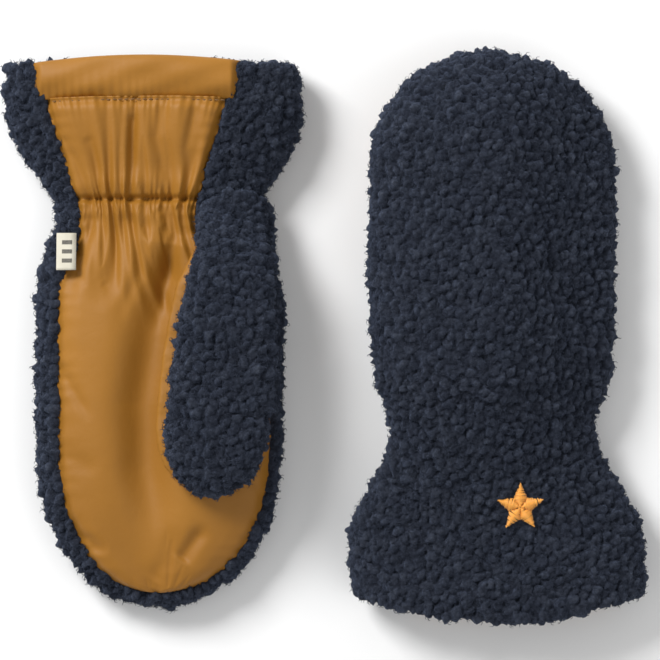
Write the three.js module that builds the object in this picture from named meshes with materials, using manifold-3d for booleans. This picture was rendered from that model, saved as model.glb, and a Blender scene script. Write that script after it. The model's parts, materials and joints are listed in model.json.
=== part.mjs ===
// A pair of child's pile mittens, lying side by side on a flat surface, in millimetres, +Z up.
// The left-hand mitten lies palm up with its fingers towards -Y and its thumb folded over the palm.
// The right-hand mitten lies back up with its fingers towards +Y and its thumb tucked beneath.
// Each mitten is drawn in a frame of its own: wrist on the X axis, fingers towards +Y, cuff towards
// -Y, thumb on the -X side, resting on z = 0. A group then turns it and moves it into place.

import * as THREE from 'three';
import { mergeVertices } from 'three/addons/utils/BufferGeometryUtils.js';
import Module from 'manifold-3d';

const wasm = await Module();
wasm.setup();

// ---- Driving dimensions ----------------------------------------------------------------------

const WRIST_HALF_WIDTH = 37.5;
const HAND_HALF_WIDTH = 44.5;
const HEM_HALF_WIDTH = 53.5;
const WRIST_THICKNESS = 20.5;
const HAND_THICKNESS = 23;
const HEM_THICKNESS = 24;
const WRIST_TO_FULL_WIDTH = 30; // along the hand, from the wrist to its full width
const TIP_POWER = 2.2; // plan curve of the rounded fingertips
const SECTION_POWER = 3; // cross-sections are superellipses of this power
const TIP_THINNING = 0.5; // the tip keeps its thickness further out than its width
const TIP_SWEEP = 1.49; // angle to the last ring of a rounded tip, just short of a quarter turn
const FLAT_UNDERSIDE = 1; // sections would reach this far below their flat lower face
const CUFF_FLARE = { reach: 0.62, power: 0.85 }; // how the cuff widens from the wrist to the hem
const CUFF_LEAN = 2.5; // the cuff's hem lies this far off the hand's middle line
const WRIST_GAP = 5; // the soft wrist reaches this far to each side of the bend line

const GAP = 0.4; // clearance between touching layers
const PILE = 7; // knitted base and curly pile together
const PILE_SIDE = 5.5; // the same pile where it wraps round the edge
const SHELL_FABRIC = 1; // padded nylon's face fabric
const WADDING = 1.8;
const SOFT_ROOM = 0.9; // space left for the padding to bend past the lining
const LINING = 1.3;
const PALM_LAYERS = SHELL_FABRIC + GAP + WADDING + SOFT_ROOM;
const ELASTIC = { thickness: 1.5, inset: 1 };

const SEAM_INSET_OUTER = 7.5; // pile border round the palm, little-finger side
const SEAM_INSET_THUMB = 3;
const SEAM_INSET_TIP = 7;
const PANEL_AT_WRIST = { thumb: 13, outer: 28 }; // palm fabric's reach from the middle
const PANEL_AT_HEM = { thumb: 27, outer: 42 };
const PANEL_WIDENING = { thumb: 55, outer: 30 }; // along the hand, from the wrist to full width
const HEM_FOLD = 14; // width of the folded hem on the palm side
const HEM_FOLD_THICKNESS = 3.6;
const HEM_SETBACK = { fold: 1, lining: 2 }; // these layers stop short of the pile's edge
const STITCH = { radius: 0.25, depth: 0.5, groove: 1.2, inset: 1 };

const THUMB = {
  base: 7,
  tip: 101,
  roundTip: 30,
  baseX: -27,
  tipX: -20,
  baseHalfWidth: 13,
  halfWidth: 19,
  thickness: 13,
  baseThickness: 10,
  fullWidthFrom: 60, // along the thumb from its base
  fullThicknessFrom: 20,
  seamHeight: { palmUp: 3.2, palmDown: 4.2 }, // from the palm to where pile meets nylon
  points: 16, // round each cross-section
  fabric: 1.2,
  pile: 3.2,
  pileSide: 3.2,
  lining: 1,
};
const THUMB_HOLE = { x: -26, y: 24, halfWidth: 9, halfLength: 11 };
const THUMB_HOLE_MARGIN = 1.5; // the palm's hole is wider than the thumb's own mouth by this much
const LIFT = THUMB.thickness + 0.6; // how far a thumb lying beneath raises the palm
const LIFT_ACROSS = { none: 37, full: -2 }; // the raised area, from the little finger's side
const LIFT_ALONG = { none: -50, full: 18, falling: 104, low: 149, lowShare: 0.5 };

const LABEL = { x: 31.5, y: 14.5, width: 7, length: 13, thickness: 1.2 };
const MOTIF = { x: 9.5, y: -26, radius: 8.6, innerRadius: 3.9, points: 5, thickness: 1.2 };

const ROW_SPACING = 2; // rows of neighbouring layers are at least this far apart
const OVERRUN = 2; // cutting shapes run this far past the ends of what they cut
const BEYOND = 40; // and this far out of its surface
const HALF_SPACE = 240; // side of a block that holds everything to one side of a plane

const MITTENS = [
  {
    side: 'left', palmUp: true, x: -60.2, y: 42, turn: Math.PI,
    handLength: 140, cuffLength: 54, roundTip: 60, hemSag: 3,
  },
  {
    side: 'right', palmUp: false, x: 57, y: -36, turn: 0,
    handLength: 134, cuffLength: 67, roundTip: 43, hemSag: 11,
  },
];

const NAVY = { color: 0x2a2d37, roughness: 0.95, metalness: 0 };
const OCHRE = { color: 0xa37134, roughness: 0.42, metalness: 0 };
const FLEECE_LINING = { color: 0x3a3d46, roughness: 0.9, metalness: 0 };
const PADDING = { color: 0xe6e4dc, roughness: 0.95, metalness: 0 };
const ELASTIC_BAND = { color: 0xd8d4c8, roughness: 0.8, metalness: 0 };
const CREAM = { color: 0xe5decb, roughness: 0.75, metalness: 0 };
const ORANGE_THREAD = { color: 0xf0a546, roughness: 0.45, metalness: 0 };
const OCHRE_THREAD = { color: 0x8d5f2a, roughness: 0.55, metalness: 0 };

// ---- Small maths -----------------------------------------------------------------------------

const mix = (a, b, t) => a + (b - a) * t;
const clamp = (t) => Math.min(Math.max(t, 0), 1);
const smooth = (t) => clamp(t) ** 2 * (3 - 2 * clamp(t));
const bow = (share) => (1 - Math.min(Math.abs(share), 1) ** SECTION_POWER) ** (1 / SECTION_POWER);
const range = (count) => Array.from({ length: count }, (_, index) => index);
const tipShare = (t) => Math.max(1 - clamp(t) ** TIP_POWER, 0) ** (1 / TIP_POWER);

// ---- Closed bodies from rings and sheets -----------------------------------------------------

/** An indexed geometry whose faces point outwards, whichever way its triangles were listed. */
function closedBody(points, triangles) {
  let volume = 0;
  for (const [a, b, c] of triangles) {
    volume += new THREE.Vector3(...points[a])
      .cross(new THREE.Vector3(...points[b]))
      .dot(new THREE.Vector3(...points[c]));
  }
  const outward = volume > 0 ? triangles : reversed(triangles);
  const geometry = new THREE.BufferGeometry();
  geometry.setAttribute('position', new THREE.Float32BufferAttribute(points.flat(), 3));
  geometry.setIndex(outward.flat());
  return geometry;
}

/** The triangles between neighbouring rings of a row; the first point of the row has this index. */
function ringWalls(rings, size, first) {
  return range(rings.length - 1).flatMap((row) => range(size).flatMap((k) => {
    const a = first + row * size + k;
    const b = first + row * size + (k + 1) % size;
    return [[a, b, b + size], [a, b + size, a + size]];
  }));
}

/** The fan that closes a ring whose first point has this index; it adds the ring's middle point. */
function ringCap(points, ring, first) {
  const size = ring.length;
  const middle = ring.reduce((sum, p) => sum.map((v, axis) => v + p[axis] / size), [0, 0, 0]);
  const centre = points.push(middle) - 1;
  return range(size).map((k) => [centre, first + k, first + (k + 1) % size]);
}

const reversed = (triangles) => triangles.map(([a, b, c]) => [a, c, b]);

/**
 * The wall between two rows of rings, open where they start: a bag if its far end is closed, or a
 * tube if that is open too. Every ring has the same number of points.
 */
function wall(outer, inner, closedEnd) {
  const size = outer[0].length;
  const points = [...outer, ...inner].flat();
  const innerStart = outer.length * size;
  const triangles = [
    ...ringWalls(outer, size, 0),
    ...reversed(ringWalls(inner, size, innerStart)),
  ];
  const rim = (a, b) => range(size).flatMap((k) => {
    const next = (k + 1) % size;
    return [[a + k, b + next, a + next], [a + k, b + k, b + next]];
  });
  const outerEnd = innerStart - size;
  const innerEnd = points.length - size;
  triangles.push(...rim(0, innerStart));
  if (closedEnd) {
    triangles.push(...ringCap(points, outer.at(-1), outerEnd));
    triangles.push(...reversed(ringCap(points, inner.at(-1), innerEnd)));
  } else {
    triangles.push(...reversed(rim(outerEnd, innerEnd)));
  }
  return closedBody(points, triangles);
}

/** A body through a row of rings, closed by a fan at each end. */
function loft(rings) {
  const size = rings[0].length;
  const points = rings.flat();
  return closedBody(points, [
    ...ringWalls(rings, size, 0),
    ...reversed(ringCap(points, rings[0], 0)),
    ...ringCap(points, rings.at(-1), (rings.length - 1) * size),
  ]);
}

/** A body over a plan area made of rows along X, between a lower and an upper surface. */
function sheet({ rows, from, to, low, high, columns = 7, sag = () => 0 }) {
  const points = [];
  for (const surface of [low, high]) {
    for (const y of rows) {
      for (const k of range(columns + 1)) {
        const x = mix(from(y), to(y), k / columns);
        points.push([x, y + sag(x, y), surface(x, y)]);
      }
    }
  }
  const across = columns + 1;
  const upper = across * rows.length;
  const triangles = [];
  for (const row of range(rows.length - 1)) {
    for (const k of range(columns)) {
      const a = row * across + k;
      const b = a + across;
      triangles.push([a, b, b + 1], [a, b + 1, a + 1]);
      triangles.push([upper + a, upper + b + 1, upper + b], [upper + a, upper + a + 1, upper + b + 1]);
    }
  }
  const last = across * (rows.length - 1);
  const edge = [
    ...range(across),
    ...range(rows.length - 1).map((row) => (row + 1) * across + columns),
    ...range(columns).map((k) => last + columns - 1 - k),
    ...range(rows.length - 2).map((row) => last - (row + 1) * across),
  ];
  edge.forEach((a, index) => {
    const b = edge[(index + 1) % edge.length];
    triangles.push([a, b, upper + b], [a, upper + b, upper + a]);
  });
  return closedBody(points, triangles);
}

// ---- Joins and cuts --------------------------------------------------------------------------

function solid(geometry) {
  const bare = geometry.index ? geometry.clone() : mergeVertices(geometry.clone());
  return new wasm.Manifold(new wasm.Mesh({
    numProp: 3,
    vertProperties: new Float32Array(bare.attributes.position.array),
    triVerts: new Uint32Array(bare.index.array),
  }));
}

/** What is left of a geometry once all the others are taken away from it. */
function cut(geometry, ...tools) {
  const left = tools.reduce((body, tool) => body.subtract(solid(tool)), solid(geometry));
  const mesh = left.getMesh();
  const result = new THREE.BufferGeometry();
  result.setAttribute('position', new THREE.Float32BufferAttribute(mesh.vertProperties, 3));
  result.setIndex(Array.from(mesh.triVerts));
  return result;
}

/** A closed copy of a three.js geometry, with its shared vertices merged. */
function merged(geometry) {
  const bare = geometry.clone();
  bare.deleteAttribute('normal');
  bare.deleteAttribute('uv');
  return mergeVertices(bare);
}

// ---- One mitten's shape ----------------------------------------------------------------------

/** Height of a section's lower face, which is flat where the fabric rests. */
function lowerFace(middle, low, rise) {
  return Math.max(middle - (middle - low + FLAT_UNDERSIDE) * rise, low);
}

/** The plan, the thickness and the lift of one mitten's hand and cuff, in the mitten's frame. */
function mittenShape({ palmUp, handLength, cuffLength, roundTip, hemSag }) {
  const tipStart = handLength - roundTip;

  const middleX = (y) => CUFF_LEAN * clamp(-y / cuffLength);

  /** Half of the width at y, for a layer that lies inset from the outline. */
  const halfWidth = (y, inset = 0, tipInset = inset) => {
    if (y < 0) {
      const flare = smooth(-y / (cuffLength * CUFF_FLARE.reach)) ** CUFF_FLARE.power;
      return mix(WRIST_HALF_WIDTH, HEM_HALF_WIDTH, flare) - inset;
    }
    const full = mix(WRIST_HALF_WIDTH, HAND_HALF_WIDTH, smooth(y / WRIST_TO_FULL_WIDTH)) - inset;
    return full * tipShare((y - tipStart) / (roundTip - tipInset));
  };

  const thickness = (y) => {
    if (y < 0) {
      return mix(WRIST_THICKNESS, HEM_THICKNESS, smooth(-y / cuffLength));
    }
    const full = mix(WRIST_THICKNESS, HAND_THICKNESS, smooth(y / WRIST_TO_FULL_WIDTH));
    return full * tipShare((y - tipStart) / roundTip) ** TIP_THINNING;
  };

  /** How far the thumb lying beneath raises the mitten; nothing under a mitten that lies palm up. */
  const lift = (x, y) => {
    if (palmUp) {
      return 0;
    }
    const { none, full, falling, low, lowShare } = LIFT_ALONG;
    const acrossHand = smooth((LIFT_ACROSS.none - x) / (LIFT_ACROSS.none - LIFT_ACROSS.full));
    const rise = smooth((y - none) / (full - none));
    const fall = mix(1, lowShare, smooth((y - falling) / (low - falling)));
    return LIFT * acrossHand * rise * fall;
  };

  /** Heights of a layer's lower and upper surface at y, before the section's curve and the lift. */
  const levels = (y, layer) => {
    const low = palmUp ? layer.back : layer.palm;
    const high = thickness(y) - (palmUp ? layer.palm : layer.back);
    return { low, high, middle: (low + high) / 2 };
  };

  /** A surface height at a plan position; side is 1 on the upper face and -1 on the lower one. */
  const surface = (layer, side) => (x, y) => {
    const { low, high, middle } = levels(y, layer);
    const rise = bow((x - middleX(y)) / halfWidth(y));
    return (side > 0 ? mix(middle, high, rise) : lowerFace(middle, low, rise)) + lift(x, y);
  };

  /** How far the hem's edge is drawn back at x, because it runs in an arc. */
  const sag = (x, y) => {
    const share = (x - middleX(y)) / halfWidth(y);
    return y < 0 ? hemSag * (y / cuffLength) ** 2 * share ** 2 : 0;
  };

  const count = palmUp ? 18 : 26; // a raised palm needs more points to keep its layers apart
  const ring = (y, layer) => range(count).map((k) => {
    const angle = 2 * Math.PI * (k + 0.5) / count;
    const { low, high, middle } = levels(y, layer);
    const half = halfWidth(y, layer.side);
    const x = middleX(y) + half * Math.cos(angle);
    const rise = Math.sign(Math.sin(angle)) * bow(Math.cos(angle));
    const height = rise > 0 ? mix(middle, high, rise) : lowerFace(middle, low, -rise);
    return [x, y + sag(x, y), height + lift(x, y)];
  });

  /** Stations from the wrist to the fingertip, closer together where the tip rounds off. */
  const handRows = (start, inset = 0) => [
    ...range(4).map((k) => mix(start, tipStart, k / 4)),
    ...range(5).map((k) => tipStart + (roundTip - inset) * Math.sin((k / 4) * TIP_SWEEP)),
  ];
  return { palmUp, cuffLength, halfWidth, lift, levels, surface, sag, ring, handRows };
}

// ---- Sub-parts -------------------------------------------------------------------------------

const OUTSIDE = { back: 0, palm: 0, side: 0 };
const INSIDE_PILE = { back: PILE, palm: PALM_LAYERS, side: PILE_SIDE };
const LINING_OUTSIDE = { back: PILE + GAP, palm: PALM_LAYERS + GAP, side: PILE_SIDE + GAP };
const LINING_INSIDE = {
  back: LINING_OUTSIDE.back + LINING,
  palm: LINING_OUTSIDE.palm + LINING,
  side: LINING_OUTSIDE.side + LINING,
};

/** The edges of the palm fabric on the hand: towards the thumb, and the little finger. */
function handPanel(shape, margin) {
  const from = (y) => {
    const widening = smooth(y / PANEL_WIDENING.thumb);
    const seam = shape.halfWidth(y, SEAM_INSET_THUMB, SEAM_INSET_TIP);
    return -mix(Math.min(PANEL_AT_WRIST.thumb, seam), seam, widening) - margin;
  };
  const to = (y) => {
    const seam = shape.halfWidth(y, SEAM_INSET_OUTER, SEAM_INSET_TIP);
    const widening = smooth(y / PANEL_WIDENING.outer);
    return mix(Math.min(PANEL_AT_WRIST.outer, seam), seam, widening) + margin;
  };
  return { from, to };
}

/** The edges of the palm-side fabric on the cuff. */
function cuffPanel(shape, margin) {
  const share = (y) => -y / shape.cuffLength;
  return {
    from: (y) => -mix(PANEL_AT_WRIST.thumb, PANEL_AT_HEM.thumb, share(y)) - margin,
    to: (y) => mix(PANEL_AT_WRIST.outer, PANEL_AT_HEM.outer, share(y)) + margin,
  };
}

/** The block of space over a panel, from the middle of the mitten outwards through its palm side. */
function panelSpace(shape, rows, edges) {
  const middle = (x, y) => shape.levels(y, OUTSIDE).middle + shape.lift(x, y);
  const beyond = (x, y) => middle(x, y) + (shape.palmUp ? BEYOND : -BEYOND);
  return sheet({
    rows, ...edges, sag: shape.sag,
    low: shape.palmUp ? middle : beyond,
    high: shape.palmUp ? beyond : middle,
  });
}

/** A layer of palm fabric that lies between two depths under the palm's outer surface. */
function palmLayer(shape, rows, edges, depth, thickness) {
  const outer = { ...OUTSIDE, palm: depth };
  const inner = { ...OUTSIDE, palm: depth + thickness };
  const side = shape.palmUp ? 1 : -1;
  const faces = [shape.surface(inner, side), shape.surface(outer, side)];
  const [low, high] = shape.palmUp ? faces : faces.toReversed();
  return sheet({ rows, ...edges, sag: shape.sag, low, high });
}

/** An upright post of oval section, for the holes that the thumb goes through. */
function thumbPost(margin, low, high) {
  const post = new THREE.CylinderGeometry(1, 1, high - low, 16).rotateX(Math.PI / 2);
  post.scale(THUMB_HOLE.halfWidth + margin, THUMB_HOLE.halfLength + margin, 1);
  post.translate(THUMB_HOLE.x, THUMB_HOLE.y, (low + high) / 2);
  return merged(post);
}

function palmHole(shape) {
  const middle = shape.levels(THUMB_HOLE.y, OUTSIDE).middle + shape.lift(THUMB_HOLE.x, THUMB_HOLE.y);
  return shape.palmUp
    ? thumbPost(THUMB_HOLE_MARGIN, middle, middle + BEYOND)
    : thumbPost(THUMB_HOLE_MARGIN, middle - BEYOND, middle);
}

function handPieces(shape) {
  const rings = (layer) => (
    shape.handRows(WRIST_GAP, layer.side + GAP).map((y) => shape.ring(y, layer))
  );
  const panelRows = shape.handRows(WRIST_GAP, SEAM_INSET_TIP + GAP);
  const openRows = [WRIST_GAP - OVERRUN, ...panelRows.slice(1)];
  const hole = palmHole(shape);
  const pile = cut(
    wall(rings(OUTSIDE), rings(INSIDE_PILE), true),
    panelSpace(shape, openRows, handPanel(shape, GAP)),
    hole,
  );
  const lining = cut(wall(rings(LINING_OUTSIDE), rings(LINING_INSIDE), true), hole);
  const panel = palmLayer(shape, panelRows, handPanel(shape, 0), 0, SHELL_FABRIC);
  const wadding = palmLayer(shape, panelRows, handPanel(shape, 0), SHELL_FABRIC + GAP, WADDING);
  return [
    ['hand_back_pile', pile, NAVY],
    ['palm_panel', cut(panel, hole), OCHRE],
    ['palm_wadding', cut(wadding, hole), PADDING],
    ['hand_lining', lining, FLEECE_LINING],
  ];
}

function cuffPieces(shape) {
  const end = -shape.cuffLength;
  const between = [1, 2, 3].map((k) => mix(-WRIST_GAP, end, k / 4)); // shared, so layers stay parallel
  const rowsBetween = (first, last) => [first, ...between.filter((y) => y > last + ROW_SPACING), last];
  const tube = (outer, inner, last) => {
    const rings = (layer) => rowsBetween(-WRIST_GAP, last).map((y) => shape.ring(y, layer));
    return wall(rings(outer), rings(inner), false);
  };
  const foldStart = end + HEM_FOLD;
  const panelRows = rowsBetween(-WRIST_GAP, foldStart + STITCH.groove);
  const foldRows = [foldStart, end + HEM_SETBACK.fold];
  const pile = cut(
    tube(OUTSIDE, INSIDE_PILE, end),
    panelSpace(shape, rowsBetween(-WRIST_GAP + OVERRUN, end - OVERRUN), cuffPanel(shape, GAP)),
  );
  const lining = tube(LINING_OUTSIDE, LINING_INSIDE, end + HEM_SETBACK.lining);
  const panel = palmLayer(shape, panelRows, cuffPanel(shape, 0), 0, SHELL_FABRIC);
  const fold = palmLayer(shape, foldRows, cuffPanel(shape, 0), 0, HEM_FOLD_THICKNESS);
  return [
    ['cuff_back_pile', pile, NAVY],
    ['cuff_palm_panel', panel, OCHRE],
    ['hem_fold', fold, OCHRE],
    ['cuff_lining', lining, FLEECE_LINING],
  ];
}

/** The soft wrist between hand and cuff: pile, gathered palm fabric, elastic and lining. */
function wristPieces(shape) {
  const reach = WRIST_GAP - GAP;
  const band = (outer, inner) => {
    const rings = (layer) => [reach, 0, -reach].map((y) => shape.ring(y, layer));
    return wall(rings(outer), rings(inner), false);
  };
  const rows = [-reach, reach];
  const openRows = [-reach - OVERRUN, reach + OVERRUN];
  const edges = (margin) => ({
    from: () => -PANEL_AT_WRIST.thumb - margin,
    to: () => PANEL_AT_WRIST.outer + margin,
  });
  const pile = cut(band(OUTSIDE, INSIDE_PILE), panelSpace(shape, openRows, edges(GAP)));
  const gather = palmLayer(shape, rows, edges(0), 0, SHELL_FABRIC);
  const bandEdges = edges(-ELASTIC.inset);
  const elastic = palmLayer(shape, rows, bandEdges, SHELL_FABRIC + GAP, ELASTIC.thickness);
  return [
    ['wrist_pile', pile, NAVY],
    ['wrist_gather', gather, OCHRE],
    ['wrist_elastic', elastic, ELASTIC_BAND],
    ['wrist_lining', band(LINING_OUTSIDE, LINING_INSIDE), FLEECE_LINING],
  ];
}

/** The thumb bag: pile outside, nylon towards the palm, a lining, and a mouth that faces the palm. */
function thumbPieces(palmUp) {
  const tipStart = THUMB.tip - THUMB.roundTip;
  const floor = palmUp ? HAND_THICKNESS + GAP : 0;
  const thickness = (y) => (
    mix(THUMB.baseThickness, THUMB.thickness, smooth((y - THUMB.base) / THUMB.fullThicknessFrom))
    * tipShare((y - tipStart) / THUMB.roundTip) ** TIP_THINNING
  );
  const halfWidth = (y, inset) => {
    const share = smooth((y - THUMB.base) / THUMB.fullWidthFrom);
    const grown = mix(THUMB.baseHalfWidth, THUMB.halfWidth, share);
    return (grown - inset) * tipShare((y - tipStart) / (THUMB.roundTip - inset));
  };
  const middleX = (y) => mix(THUMB.baseX, THUMB.tipX, (y - THUMB.base) / (THUMB.tip - THUMB.base));
  const levels = (y, layer) => {
    const top = floor + thickness(y);
    return palmUp
      ? { low: floor + layer.palm, high: top - layer.back }
      : { low: floor + layer.back, high: top - layer.palm };
  };
  const ring = (y, layer) => range(THUMB.points).map((k) => {
    const angle = 2 * Math.PI * (k + 0.5) / THUMB.points;
    const { low, high } = levels(y, layer);
    const middle = (low + high) / 2;
    const rise = Math.sign(Math.sin(angle)) * bow(Math.cos(angle));
    const z = rise > 0 ? mix(middle, high, rise) : lowerFace(middle, low, -rise);
    return [middleX(y) + halfWidth(y, layer.side) * Math.cos(angle), y, z];
  });
  const bag = (layer) => loft([
    ...range(3).map((k) => mix(THUMB.base + layer.side, tipStart, k / 3)),
    ...range(4).map((k) => tipStart + (THUMB.roundTip - layer.side - GAP) * Math.sin((k / 3) * TIP_SWEEP)),
  ].map((y) => ring(y, layer)));

  const inner = { back: THUMB.pile, palm: THUMB.fabric, side: THUMB.pileSide };
  const liningOut = { back: inner.back + GAP, palm: inner.palm + GAP, side: inner.side + GAP };
  const liningIn = {
    back: liningOut.back + THUMB.lining,
    palm: liningOut.palm + THUMB.lining,
    side: liningOut.side + THUMB.lining,
  };
  const seamLevel = palmUp
    ? floor + THUMB.seamHeight.palmUp
    : floor + THUMB.thickness - THUMB.seamHeight.palmDown;
  const block = (start) => {
    const cube = new THREE.BoxGeometry(HALF_SPACE, HALF_SPACE, HALF_SPACE);
    return merged(cube.translate(0, 0, start + HALF_SPACE / 2));
  };
  const above = block(seamLevel);
  const belowWithGap = block(seamLevel + GAP - HALF_SPACE);
  const middleLevel = floor + THUMB.thickness / 2;
  const mouth = palmUp
    ? thumbPost(0, middleLevel - BEYOND, middleLevel)
    : thumbPost(0, middleLevel, middleLevel + BEYOND);
  const shell = cut(bag(OUTSIDE), bag(inner), mouth);
  const pile = cut(shell, palmUp ? belowWithGap : above);
  const nylon = cut(shell, palmUp ? above : belowWithGap);
  return [
    ['thumb_back_pile', pile, NAVY],
    ['thumb_palm_panel', nylon, OCHRE],
    ['thumb_lining', cut(bag(liningOut), bag(liningIn), mouth), FLEECE_LINING],
  ];
}

/** The row of stitching that holds the folded hem, as one thread along the groove beside it. */
function hemStitching(shape) {
  const y = HEM_FOLD + STITCH.groove / 2 - shape.cuffLength;
  const side = shape.palmUp ? 1 : -1;
  const height = shape.surface(OUTSIDE, side);
  const edges = cuffPanel(shape, -STITCH.inset);
  const points = range(7).map((k) => {
    const x = mix(edges.from(y), edges.to(y), k / 6);
    return new THREE.Vector3(x, y + shape.sag(x, y), height(x, y) - side * STITCH.depth);
  });
  const section = new THREE.Shape().absellipse(0, 0, STITCH.radius, STITCH.radius, 0, 2 * Math.PI);
  const path = new THREE.CatmullRomCurve3(points);
  return merged(new THREE.ExtrudeGeometry(section, { extrudePath: path, steps: 8, curveSegments: 3 }));
}

/** The woven label, folded in half, its raw ends caught in the seam beside the palm. */
function sideLabel(shape) {
  const { x, y, width, length, thickness } = LABEL;
  const height = shape.surface(OUTSIDE, 1);
  const rows = [y - length / 2, y + length / 2];
  const low = (px, py) => height(px, py) + GAP;
  return sheet({
    rows, columns: 3, from: () => x - width / 2, to: () => x + width / 2, low,
    high: (px, py) => low(px, py) + thickness,
  });
}

/** An embroidered star on the back of the cuff. */
function cuffMotif(shape) {
  const star = new THREE.Shape();
  for (const k of range(2 * MOTIF.points)) {
    const reach = k % 2 === 0 ? MOTIF.radius : MOTIF.innerRadius;
    const angle = Math.PI / 2 + k * Math.PI / MOTIF.points;
    star.lineTo(reach * Math.cos(angle), reach * Math.sin(angle));
  }
  star.curves.shift();
  const flat = new THREE.ExtrudeGeometry(star, { depth: MOTIF.thickness, bevelEnabled: false });
  const motif = merged(flat.translate(MOTIF.x, MOTIF.y, 2 * GAP));
  const height = shape.surface(OUTSIDE, 1);
  const position = motif.attributes.position;
  for (const k of range(position.count)) {
    position.setZ(k, position.getZ(k) + height(position.getX(k), position.getY(k)));
  }
  return motif;
}

// ---- Assembly --------------------------------------------------------------------------------

function mitten(spec) {
  const shape = mittenShape(spec);
  const pieces = [
    ...handPieces(shape),
    ...wristPieces(shape),
    ...cuffPieces(shape),
    ...thumbPieces(spec.palmUp),
    ['hem_stitching', hemStitching(shape), OCHRE_THREAD],
  ];
  if (spec.palmUp) {
    pieces.push(['side_label', sideLabel(shape), CREAM]);
  } else {
    pieces.push(['cuff_motif', cuffMotif(shape), ORANGE_THREAD]);
  }
  const group = new THREE.Group();
  for (const [name, geometry, finish] of pieces) {
    const mesh = new THREE.Mesh(geometry, new THREE.MeshStandardMaterial(finish));
    mesh.name = `${spec.side}_${name}`;
    group.add(mesh);
  }
  group.position.set(spec.x, spec.y, 0);
  group.rotation.z = spec.turn;
  return group;
}

const pair = new THREE.Group();
pair.add(...MITTENS.map(mitten));

// The origin lies under the middle of the pair, on the surface that it rests on.
const bounds = new THREE.Box3().setFromObject(pair, true);
const centre = bounds.getCenter(new THREE.Vector3());
pair.position.set(-centre.x, -centre.y, -bounds.min.z);

export default pair;
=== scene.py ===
"""The looks of a pair of child's mittens: curly navy pile, padded ochre nylon, fleece lining."""
import json
import math

import bmesh
import bpy
import numpy as np
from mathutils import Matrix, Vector, kdtree, noise


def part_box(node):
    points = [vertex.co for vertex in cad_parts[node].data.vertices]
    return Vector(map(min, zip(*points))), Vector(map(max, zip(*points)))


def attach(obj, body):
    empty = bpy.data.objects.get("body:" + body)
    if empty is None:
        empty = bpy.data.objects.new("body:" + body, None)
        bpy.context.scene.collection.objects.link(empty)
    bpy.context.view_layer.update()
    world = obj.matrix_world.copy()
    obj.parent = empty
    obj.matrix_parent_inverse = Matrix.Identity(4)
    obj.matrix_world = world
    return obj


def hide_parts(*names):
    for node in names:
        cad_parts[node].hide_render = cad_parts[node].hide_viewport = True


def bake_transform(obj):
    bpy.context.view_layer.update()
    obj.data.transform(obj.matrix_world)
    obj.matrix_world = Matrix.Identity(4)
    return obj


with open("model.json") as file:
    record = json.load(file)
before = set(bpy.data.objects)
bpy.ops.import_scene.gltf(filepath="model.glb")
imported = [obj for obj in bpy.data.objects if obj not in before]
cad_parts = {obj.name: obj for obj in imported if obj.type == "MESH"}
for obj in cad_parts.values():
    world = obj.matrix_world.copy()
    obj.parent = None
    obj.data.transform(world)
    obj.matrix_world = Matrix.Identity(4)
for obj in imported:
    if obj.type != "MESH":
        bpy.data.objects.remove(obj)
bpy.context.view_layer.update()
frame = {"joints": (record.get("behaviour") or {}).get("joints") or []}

MM = 0.001
SEED = 7

# ---- Driving dimensions, in millimetres, in each mitten's own frame --------------------------
# Wrist on the X axis, fingers towards +Y, cuff towards -Y, thumb on the -X side, floor at z = 0.

WRIST_HALF = 36.0
HAND_HALF = 43.5
HEM_HALF = 52.0
WRIST_THICK = 18.5
HAND_THICK = 22.5
HEM_THICK = 23.5
WIDENING = 30.0
TIP_POWER = 2.2
TIP_THINNING = 0.6  # the tip keeps its thickness further out than its width
SECTION_POWER = 2.5
FLAT_UNDERSIDE = 0.54  # sections reach this share of the thickness below their middle
PILE_BASE = 1.6  # the pile's knitted base lies this far inside the outline
CUFF_LEAN = 2.5
CUFF_FLARE_REACH = 0.62
CUFF_FLARE_POWER = 0.85

# The thumb beneath raises a mitten that lies back up. The lift fades out towards these places.
LIFT_SIDE = 37.0
LIFT_SIDE_FADE = 39.0
LIFT_WRIST = -50.0
LIFT_WRIST_FADE = 68.0
LIFT_TIP = 104.0
LIFT_TIP_FADE = 42.0
LIFT_TIP_DROP = 0.55
LIFT_MIDDLE = 60.0
LIFT_CLEARANCE = 0.6

# The palm fabric's seams, measured from the outline or from the mitten's middle line.
TIP_BORDER = 5.0
THUMB_SEAM_INSET = 4.0
OUTER_SEAM_INSET = 8.0
PALM_AT_WRIST = {"thumb": 13.0, "outer": 28.0}
PALM_AT_HEM = {"thumb": 28.5, "outer": 44.0}
PALM_WIDENING = {"thumb": 55.0, "outer": 30.0}

CURL_SPACING = 2.8
THUMB_CURL_SPACING = CURL_SPACING * 1.12
CURL_HEIGHT = 2.0
CURL_WARP = 1.15
CURL_SIZES = (0.6, 1.2)
FIBRE_LENGTHS = (0.5, 1.0)
VOXEL = 0.85

THUMB_BASE_Y = -6.0
THUMB_TIP_Y = 100.0
THUMB_ROUND = 26.0
THUMB_HALF = 18.6
THUMB_BASE_HALF = 13.5
THUMB_THICK = 12.5
THUMB_BASE_X = -27.5
THUMB_TIP_X = -19.5
THUMB_NYLON_SHOWING = 5.0

PADDING_RISE = 1.0
FOLD_DEPTH = 1.35
ROLL_HEIGHT = 1.2

LABEL_START = 28.6
LABEL_REACH = 6.3
LABEL_LENGTH = 13.0
LABEL_GAUGE = 0.4
LABEL_Y = 14.5

STAR_X = 9.5
STAR_Y = -26.0
STAR_RADIUS = 8.6
STAR_INNER = 3.9
STAR_PITCH = 0.36
STAR_LEVEL = 0.7


def smooth(value):
    value = np.clip(value, 0.0, 1.0)
    return value * value * (3.0 - 2.0 * value)


def mix(low, high, share):
    return low + (high - low) * share


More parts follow.
